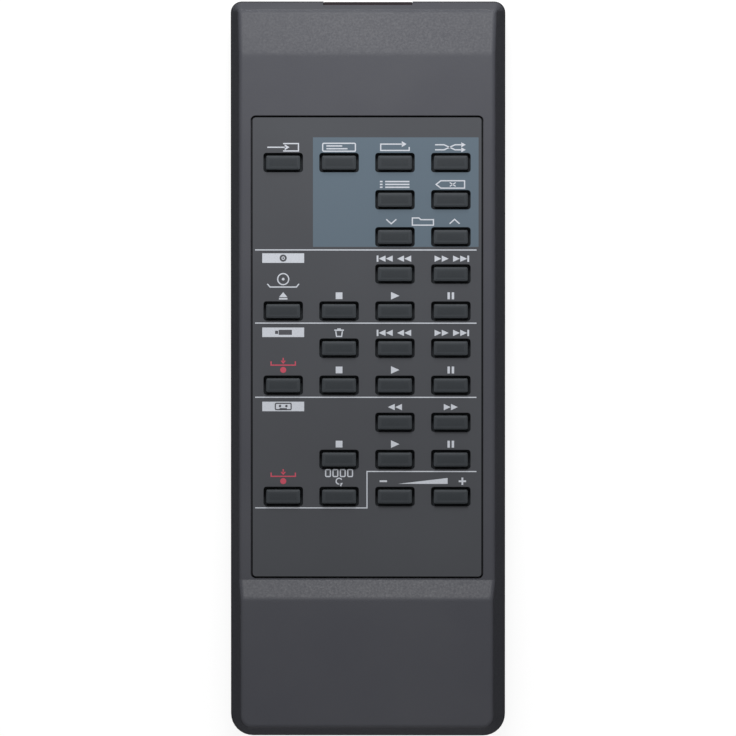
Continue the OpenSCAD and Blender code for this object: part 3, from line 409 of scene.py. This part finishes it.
marks = {
    "stop": [bar(0, 0, 1.28, 1.28)],
    "play": [arrowHead(0.05, 0, 1.6, 1.45, 0)],
    "pause": [bar(-0.4, 0, 0.46, 1.32), bar(0.4, 0, 0.46, 1.32)],
    "eject": [arrowHead(0, 0.2, 0.95, 1.6, 90), bar(0, -0.58, 1.6, 0.3)],
    "record": [dot(0, 0, 0.57)],
    "rewind": doubleHeads(0, 180),
    "wind": doubleHeads(0, 0),
    "skipBack": skip(-1),
    "skipForward": skip(1),
    "down": [line([(-0.95, 0.42), (0, -0.42), (0.95, 0.42)])],
    "up": [line([(-0.95, -0.42), (0, 0.42), (0.95, -0.42)])],
    "minus": [bar(0, 0, 1.4, 0.34)],
    "plus": [bar(0, 0, 1.4, 0.34), bar(0, 0.435, 0.34, 0.53), bar(0, -0.435, 0.34, 0.53)],
    "input": [line([(-3.0, 0), (0.5, 0)]), arrowHead(0.75, 0, 0.9, 1.1, 0),
              line([(0.0, 0.7), (2.9, 0.7), (2.9, -0.7), (0.0, -0.7)])],
    "display": [frameLine(0, 0, 6.2, 1.5), bar(-0.9, 0.25, 3.0, 0.24), bar(-0.4, -0.28, 4.0, 0.24)],
    "repeat": [line([(2.7, 0.05), (2.7, -0.6), (-2.7, -0.6), (-2.7, 0.6), (1.4, 0.6)]),
               arrowHead(1.75, 0.6, 0.9, 1.1, 0)],
    "shuffle": [line([(-3.0, 0.48), (-1.3, 0.48), (0.8, -0.48), (2.0, -0.48)]),
                arrowHead(2.4, -0.48, 0.85, 0.9, 0),
                line([(-3.0, -0.48), (-1.3, -0.48), (0.8, 0.48), (2.0, 0.48)]),
                arrowHead(2.4, 0.48, 0.85, 0.9, 0)],
    "program": [bar(side, row, width, 0.26)
                for row in (0.54, 0, -0.54) for side, width in ((-2.6, 0.5), (0.45, 4.6))],
    "clear": [line([(-2.8, 0), (-1.9, 0.7), (2.6, 0.7), (2.6, -0.7), (-1.9, -0.7)], closed=True),
              line([(-0.2, 0.36), (0.9, -0.36)], width=0.2), line([(-0.2, -0.36), (0.9, 0.36)], width=0.2)],
    "folder": [line([(-2.0, -0.68), (-2.0, 0.68), (-0.75, 0.68), (-0.4, 0.36), (2.0, 0.36), (2.0, -0.68)],
                    closed=True)],
    "tray": [line(circle(0, 0.5, 1.05), closed=True), dot(0, 0.5, 0.26),
             line([(-3.0, -0.4), (-2.5, -1.0), (2.5, -1.0), (3.0, -0.4)])],
    "erase": [line([(-0.62, 0.3), (-0.48, -0.68), (0.48, -0.68), (0.62, 0.3)]), bar(0, 0.5, 1.8, 0.26),
              bar(0, 0.74, 0.7, 0.2)],
    "store": [line([(0, 0.75), (0, 0.1)]), arrowHead(0, -0.08, 0.6, 1.0, 270),
              line([(-2.3, 0.1), (-2.3, -0.62), (2.3, -0.62), (2.3, 0.1)])],
    "counter": [frameLine(side, 0, 0.9, 1.3) for side in (-2.1, -0.7, 0.7, 2.1)],
    "reset": [line(circle(0, 0, 0.56, 30, 300, 20)), arrowHead(0.42, -0.52, 0.7, 0.75, 35)],
    "level": [plate([(-4.7, -0.5), (4.7, -0.5), (4.7, 0.62)])],
    "tab": [bar(0, 0, 7.95, 1.81)],
    "tabDisc": [line(circle(0, 0, 0.5), closed=True, width=0.36), dot(0, 0, 0.16)],
    "tabStick": [bar(0.4, 0, 2.5, 0.95), bar(-1.25, 0, 0.6, 0.6)],
    "tabTape": [frameLine(0, 0, 3.0, 1.2), dot(-0.6, 0.08, 0.24), dot(0.6, 0.08, 0.24),
                bar(0, -0.42, 1.4, 0.22)],
}
quarterTurn = np.array([[0, 1], [-1, 0]])  # turns directions to their left
mitreLimit = 0.4  # keeps the mitre of a sharp corner short
mergeMm = 0.0005  # points nearer than this become one


def plateSurface(outline):
    # Point(u, v) = middle + share(v) * (outline(u) - middle), v running out below, up the edge and in again
    middle = outline.mean(0)
    share, rise = np.array([0.0, 1.0, 1.0, 0.0]), np.array([0.0, 0.0, 1.0, 1.0])
    plan = middle + share[:, None, None] * (outline - middle)
    height = np.broadcast_to(rise[:, None, None], plan.shape[:2] + (1,))
    return np.concatenate([plan, height], 2), True, False


def lineSurface(path, closed, width):
    # Point(u, v) = path(u) + side(v) * half the width along the mitred normal, v running round a rectangle
    ahead = np.roll(path, -1, 0) - path
    ahead[-1] = ahead[-1] if closed else ahead[-2]
    ahead /= np.linalg.norm(ahead, axis=1)[:, None]
    behind = np.roll(ahead, 1, 0)
    behind[0] = behind[0] if closed else ahead[0]
    mitre = (ahead + behind) @ quarterTurn
    mitre /= np.linalg.norm(mitre, axis=1)[:, None]
    reach = width / 2 / np.maximum((mitre * (ahead @ quarterTurn)).sum(1), mitreLimit)
    side, rise = np.array([1.0, 1.0, -1.0, -1.0]), np.array([0.0, 1.0, 1.0, 0.0])
    plan = path + side[:, None, None] * (mitre * reach[:, None])
    height = np.broadcast_to(rise[:, None, None], plan.shape[:2] + (1,))
    return np.concatenate([plan, height], 2), closed, True


def gridFaces(rows, columns, loopU, loopV):  # quads of a grid that may close on itself either way
    index = np.arange(rows * columns).reshape(rows, columns)
    nextRow, nextColumn = np.roll(index, -1, 0), np.roll(index, -1, 1)
    corner = np.roll(nextRow, -1, 1)
    quads = np.stack([index, nextColumn, corner, nextRow], 2)
    return quads[:rows if loopV else rows - 1, :columns if loopU else columns - 1].reshape(-1, 4)


def addPiece(name, surfaces, material, body):
    # One object from several grids, each with its points (v, u, xyz) in metres and the ways that it closes
    points, faces, first = [], [], 0
    for grid, loopU, loopV in surfaces:
        points.append(grid.reshape(-1, 3))
        faces += (gridFaces(grid.shape[0], grid.shape[1], loopU, loopV) + first).tolist()
        if loopV and not loopU:  # an open line gets flat ends
            ends = first + np.arange(grid.shape[0]) * grid.shape[1]
            faces += [ends[::-1].tolist(), (ends + grid.shape[1] - 1).tolist()]
        first += grid.shape[0] * grid.shape[1]
    mesh = bpy.data.meshes.new(name)
    mesh.from_pydata(np.concatenate(points).tolist(), [], faces)
    shell = bmesh.new()
    shell.from_mesh(mesh)
    bmesh.ops.remove_doubles(shell, verts=shell.verts, dist=mergeMm * mm)
    bmesh.ops.dissolve_degenerate(shell, edges=shell.edges, dist=mergeMm * mm)
    bmesh.ops.recalc_face_normals(shell, faces=shell.faces)
    shell.to_mesh(mesh)
    shell.free()
    mesh.polygons.foreach_set("use_smooth", np.zeros(len(mesh.polygons), bool))  # print and screws stay crisp
    mesh.materials.append(material)
    piece = bpy.data.objects.new(name, mesh)
    scene.collection.objects.link(piece)
    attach(piece, body)
    return piece


def inkSurfaces(kind, x, y, floorZ=panelTop, heightMm=inkFinish["heightMm"]):
    # The grids of one mark, set down at a place and raised from the floor there
    surfaces = []
    for form, points, closed, width in marks[kind]:
        grid, loopU, loopV = plateSurface(points) if form == "plate" else lineSurface(points, closed, width)
        grid = grid * np.array([mm, mm, heightMm * mm]) + np.array([x, y, floorZ])
        surfaces.append((grid, loopU, loopV))
    return surfaces


# Where the marks stand over their keys
legend = dict(riseMm=2.9, tabRiseMm=3.0, wordRiseMm=4.43, trayRiseMm=5.55)
overKey = {
    "function_legends": (whiteInk, {
        "key_input": "input", "key_display": "display", "key_repeat": "repeat", "key_shuffle": "shuffle",
        "key_program": "program", "key_clear": "clear"}),
    "disc_legends": (whiteInk, {
        "key_disc_back": "skipBack", "key_disc_forward": "skipForward", "key_disc_eject": "eject",
        "key_disc_stop": "stop", "key_disc_play": "play", "key_disc_pause": "pause"}),
    "memory_legends": (whiteInk, {
        "key_memory_erase": "erase", "key_memory_back": "skipBack", "key_memory_forward": "skipForward",
        "key_memory_stop": "stop", "key_memory_play": "play", "key_memory_pause": "pause"}),
    "tape_legends": (whiteInk, {
        "key_tape_rewind": "rewind", "key_tape_wind": "wind", "key_tape_stop": "stop",
        "key_tape_play": "play", "key_tape_pause": "pause", "key_counter_reset": "reset"}),
    "record_legends": (redInk, {"key_memory_record": "record", "key_tape_record": "record"}),
}
inkGroups = {}
for group, (ink, keys) in overKey.items():
    inkGroups[group] = (ink, [])
    for key, kind in keys.items():
        x, y = keyCentre(key)
        inkGroups[group][1].extend(inkSurfaces(kind, x, y + legend["riseMm"] * mm))

for key in ("key_memory_record", "key_tape_record"):  # red mark over each record dot
    x, y = keyCentre(key)
    inkGroups["record_legends"][1].extend(inkSurfaces("store", x, y + legend["wordRiseMm"] * mm))
trayX, trayY = keyCentre("key_disc_eject")
inkGroups["disc_legends"][1].extend(inkSurfaces("tray", trayX, trayY + legend["trayRiseMm"] * mm))
counterX, counterY = keyCentre("key_counter_reset")
inkGroups["tape_legends"][1].extend(inkSurfaces("counter", counterX, counterY + legend["wordRiseMm"] * mm))

# Pairs of keys that share one legend: a mark between them and one over each key, set outwards by so much
pairs = {"folder": ("key_folder_down", "down", "key_folder_up", "up", 0.7),
         "level": ("key_level_down", "minus", "key_level_up", "plus", 2.2)}
inkGroups["pair_legends"] = (whiteInk, [])
for middleMark, (leftKey, leftMark, rightKey, rightMark, outwardMm) in pairs.items():
    (leftX, keyY), (rightX, _) = keyCentre(leftKey), keyCentre(rightKey)
    markY = keyY + legend["riseMm"] * mm
    inkGroups["pair_legends"][1].extend(
        inkSurfaces(leftMark, leftX - outwardMm * mm, markY)
        + inkSurfaces(middleMark, (leftX + rightX) / 2, markY)
        + inkSurfaces(rightMark, rightX + outwardMm * mm, markY))

# White tabs at the head of each section, with a dark picture of what it plays
tabs = {"key_disc_back": "tabDisc", "key_memory_back": "tabStick", "key_tape_rewind": "tabTape"}
inkGroups["section_tabs"] = (whiteInk, [])
inkGroups["tab_pictures"] = (darkInk, [])
tabX = keyCentre("key_input")[0]
for key, picture in tabs.items():
    tabY = keyCentre(key)[1] + legend["tabRiseMm"] * mm
    inkGroups["section_tabs"][1].extend(inkSurfaces("tab", tabX, tabY))
    inkGroups["tab_pictures"][1].extend(
        inkSurfaces(picture, tabX, tabY, panelTop + inkFinish["heightMm"] * mm, inkFinish["heightMm"] / 2))

# White rules that part the sections, and the stepped rule round the counter
rules = dict(widthMm=0.21, leftMm=0.46, rightMm=0.93, footMm=2.18, riseMm={
    "key_disc_back": 4.55, "key_memory_back": 4.75, "key_tape_rewind": 4.75, "key_level_down": 4.75})
ruleLeft, ruleRight = panelLow.x + rules["leftMm"] * mm, panelHigh.x - rules["rightMm"] * mm
inkGroups["section_rules"] = (whiteInk, [])
ruleY = {key: keyCentre(key)[1] + rise * mm for key, rise in rules["riseMm"].items()}
rulePaths = [[(ruleLeft, ruleY[key]), (ruleRight, ruleY[key])] for key in tabs]
footY = keyCentre("key_level_down")[1] - rules["footMm"] * mm
stepX = (keyCentre("key_counter_reset")[0] + keyCentre("key_level_down")[0]) / 2
rulePaths.append([(ruleLeft, footY), (stepX, footY),
                  (stepX, ruleY["key_level_down"]), (ruleRight, ruleY["key_level_down"])])
for path in rulePaths:
    grid, loopU, loopV = lineSurface(np.array(path) / mm, False, rules["widthMm"])
    inkGroups["section_rules"][1].append(
        (grid * np.array([mm, mm, inkFinish["heightMm"] * mm]) + np.array([0, 0, panelTop]), loopU, loopV))

for group, (ink, surfaces) in inkGroups.items():
    addPiece(group, surfaces, ink, "handset")
print("ink printed:", len(inkGroups), "groups")


# Case screws: pan heads with a cross recess, on plain shanks with a pointed end
screw = dict(headRadiusMm=2.2, headHeightMm=1.6, domeMm=0.3, shankRadiusMm=1.25, tipMm=1.5, recessMm=1.05,
             slotMm=0.62, slotSlopeMm=0.14, armMm=1.3, armSlopeMm=0.3, turnCount=96, ringCount=34)


def rampedEdge(insideMm, slopeMm):  # 1 inside an edge and 0 outside it, with a straight ramp between
    return np.clip(insideMm / slopeMm + 0.5, 0, 1)


def screwSurface(x, y, low, high):
    # Point(u, v): u turns round the axis and v runs out over the head, up its side and along the shank.
    # The head's face is a dome of the fourth power, cut by two crossed slots with evenly sloping walls.
    turn = np.linspace(0, 2 * np.pi, screw["turnCount"], endpoint=False)
    faceRadius = np.linspace(0, 1, screw["ringCount"]) * screw["headRadiusMm"]
    shankRadius = [screw["headRadiusMm"], screw["shankRadiusMm"], screw["shankRadiusMm"], 0.0]
    radius = np.concatenate([faceRadius, shankRadius]) * mm
    dome = screw["domeMm"] * (faceRadius / screw["headRadiusMm"]) ** 4
    headTop = low + screw["headHeightMm"] * mm
    height = np.concatenate([low + dome * mm, [headTop, headTop, high - screw["tipMm"] * mm, high]])
    acrossX = np.abs(radius[:, None] * np.cos(turn)) / mm
    acrossY = np.abs(radius[:, None] * np.sin(turn)) / mm
    inSlot = [rampedEdge(screw["slotMm"] / 2 - side, screw["slotSlopeMm"])
              * rampedEdge(screw["armMm"] - along, screw["armSlopeMm"])
              for side, along in ((acrossX, acrossY), (acrossY, acrossX))]
    cut = np.maximum(*inSlot) * (np.arange(len(radius)) < len(faceRadius))[:, None]
    points = np.stack([x + radius[:, None] * np.cos(turn), y + radius[:, None] * np.sin(turn),
                       height[:, None] + screw["recessMm"] * mm * cut], 2)
    return points, True, False


screwLow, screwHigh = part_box("case_screws")
screwX = screwHigh.x - screw["headRadiusMm"] * mm
screwY = (screwLow.y + screwHigh.y) / 2
screwSurfaces = [screwSurface(side * screwX, screwY, screwLow.z, screwHigh.z) for side in (-1, 1)]
screws = addPiece("cross_head_screws", screwSurfaces, blackZinc, "handset")
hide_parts("case_screws")
print("screws cut")


# Raised arrow on the battery door that points the way it slides.
# Its face is polished ABS in the tones of the case, smoother than the skin round it.
doorArrow = dict(heightMm=0.06, setMm=10, lengthMm=3.2, widthMm=4.4)
polishedFinish = dict(dark=absFinish["dark"], light=absFinish["light"], toneMm=absFinish["toneMm"],
                      grainMm=1.2, grainHeightMm=0.002)
polishedAbs = grainedMaterial("polished_abs_charcoal", polishedFinish, {"IOR": 1.5, "Roughness": 0.2})
doorLow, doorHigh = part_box("battery_door")
marks["doorArrow"] = [arrowHead(0, 0, doorArrow["lengthMm"], doorArrow["widthMm"], 270)]
addPiece("door_arrow",
         inkSurfaces("doorArrow", 0, doorHigh.y - doorArrow["setMm"] * mm, doorLow.z, -doorArrow["heightMm"]),
         polishedAbs, "battery_door")
print("door arrow raised")


# Studio: a pale floor that keeps the shadow, a small softbox over the nose and one further before it.
# Low ones return light to both ends as a white table would, and one below shows the underside.
studio = dict(floorSize=6.0, floorDropMm=0.05, floorPale=0.2, floorBounce=0.03, floorGlow=0.885,
              floorGloss=0.025, sky=0.31)
softboxes = {
    "nose_softbox": dict(power=0.272, size=(0.06, 0.06), place=(0.0, 0.13, 0.175)),
    "front_softbox": dict(power=0.75, size=(0.2, 0.2), place=(0.0, 0.5, 0.35)),
    "table_softbox": dict(power=0.95, size=(0.3, 0.1), place=(0.0, 0.4, -0.1)),
    "back_softbox": dict(power=0.1, size=(0.3, 0.1), place=(0.0, -0.4, -0.08)),
    "under_softbox": dict(power=1.8, size=(0.2, 0.2), place=(0.0, 0.0, -0.7)),
}

# Painted floor: white to the eye with the shadow kept, and dim to bounced light, so that the sides stay dark.
# The lamps below it shine through, and it is open from below so that the underside shows.
floorPaint = newMaterial("matt_floor_paint")
floorPath = addNode(floorPaint, "ShaderNodeLightPath")
floorTone = addNode(floorPaint, "ShaderNodeMapRange", inputs={
    "Value": floorPath.outputs["Is Camera Ray"],
    "To Min": studio["floorBounce"], "To Max": studio["floorPale"]})
pale = addNode(floorPaint, "ShaderNodeBsdfDiffuse", inputs={"Color": floorTone.outputs[0]})
toGloss = addNode(floorPaint, "ShaderNodeMath", {"operation": "MULTIPLY"}, {
    0: floorPath.outputs["Is Glossy Ray"], 1: studio["floorGloss"]})
toGlass = addNode(floorPaint, "ShaderNodeMath", {"operation": "MAXIMUM"}, {
    0: floorPath.outputs["Is Camera Ray"], 1: floorPath.outputs["Is Transmission Ray"]})
toEye = addNode(floorPaint, "ShaderNodeMath", {"operation": "MULTIPLY_ADD"}, {
    0: toGlass.outputs[0], 1: studio["floorGlow"], 2: toGloss.outputs[0]})
glow = addNode(floorPaint, "ShaderNodeEmission", inputs={"Strength": toEye.outputs[0]})
lit = addNode(floorPaint, "ShaderNodeAddShader", inputs={0: pale.outputs[0], 1: glow.outputs[0]})
clear = addNode(floorPaint, "ShaderNodeBsdfTransparent")
upper = addNode(floorPaint, "ShaderNodeMixShader", inputs={
    0: floorPath.outputs["Is Shadow Ray"], 1: lit.outputs[0], 2: clear.outputs[0]})
underside = addNode(floorPaint, "ShaderNodeNewGeometry").outputs["Backfacing"]
sided = addNode(floorPaint, "ShaderNodeMixShader", inputs={
    0: underside, 1: upper.outputs[0], 2: clear.outputs[0]})
addNode(floorPaint, "ShaderNodeOutputMaterial", inputs={"Surface": sided.outputs[0]})

halfFloor = studio["floorSize"] / 2
groundZ = -studio["floorDropMm"] * mm
floorCorners = [(x * halfFloor, y * halfFloor, groundZ) for x, y in ((-1, -1), (1, -1), (1, 1), (-1, 1))]
floorMesh = bpy.data.meshes.new("studio_floor")
floorMesh.from_pydata(floorCorners, [], [(0, 1, 2, 3)])
floorMesh.materials.append(floorPaint)
floor = bpy.data.objects.new("studio_floor", floorMesh)
scene.collection.objects.link(floor)

# Air: white to the eye, in a reflection and through glass, and a dimmer fill for all other light
world = bpy.data.worlds.new("studio_air")
world.use_nodes = True
world.node_tree.nodes.clear()
airPath = addNode(world, "ShaderNodeLightPath")
toMirror = addNode(world, "ShaderNodeMath", {"operation": "MAXIMUM"}, {
    0: airPath.outputs["Is Camera Ray"], 1: airPath.outputs["Is Glossy Ray"]})
seen = addNode(world, "ShaderNodeMath", {"operation": "MAXIMUM"}, {
    0: toMirror.outputs[0], 1: airPath.outputs["Is Transmission Ray"]})
backdrop = addNode(world, "ShaderNodeBackground", inputs={"Color": (1, 1, 1, 1), "Strength": 1.0})
fill = addNode(world, "ShaderNodeBackground", inputs={"Color": (1, 1, 1, 1), "Strength": studio["sky"]})
air = addNode(world, "ShaderNodeMixShader", inputs={
    0: seen.outputs[0], 1: fill.outputs[0], 2: backdrop.outputs[0]})
addNode(world, "ShaderNodeOutputWorld", inputs={"Surface": air.outputs[0]})
scene.world = world

for name, softbox in softboxes.items():  # rectangular lamps, turned to the object
    lamp = bpy.data.lights.new(name, "AREA")
    lamp.shape = "RECTANGLE"
    lamp.size, lamp.size_y = softbox["size"]
    lamp.energy = softbox["power"]
    holder = bpy.data.objects.new(name, lamp)
    holder.location = softbox["place"]
    holder.rotation_euler = (-Vector(softbox["place"])).to_track_quat("-Z", "Y").to_euler()
    holder.visible_camera = False
    scene.collection.objects.link(holder)
print("studio lit by", len(softboxes), "softboxes")
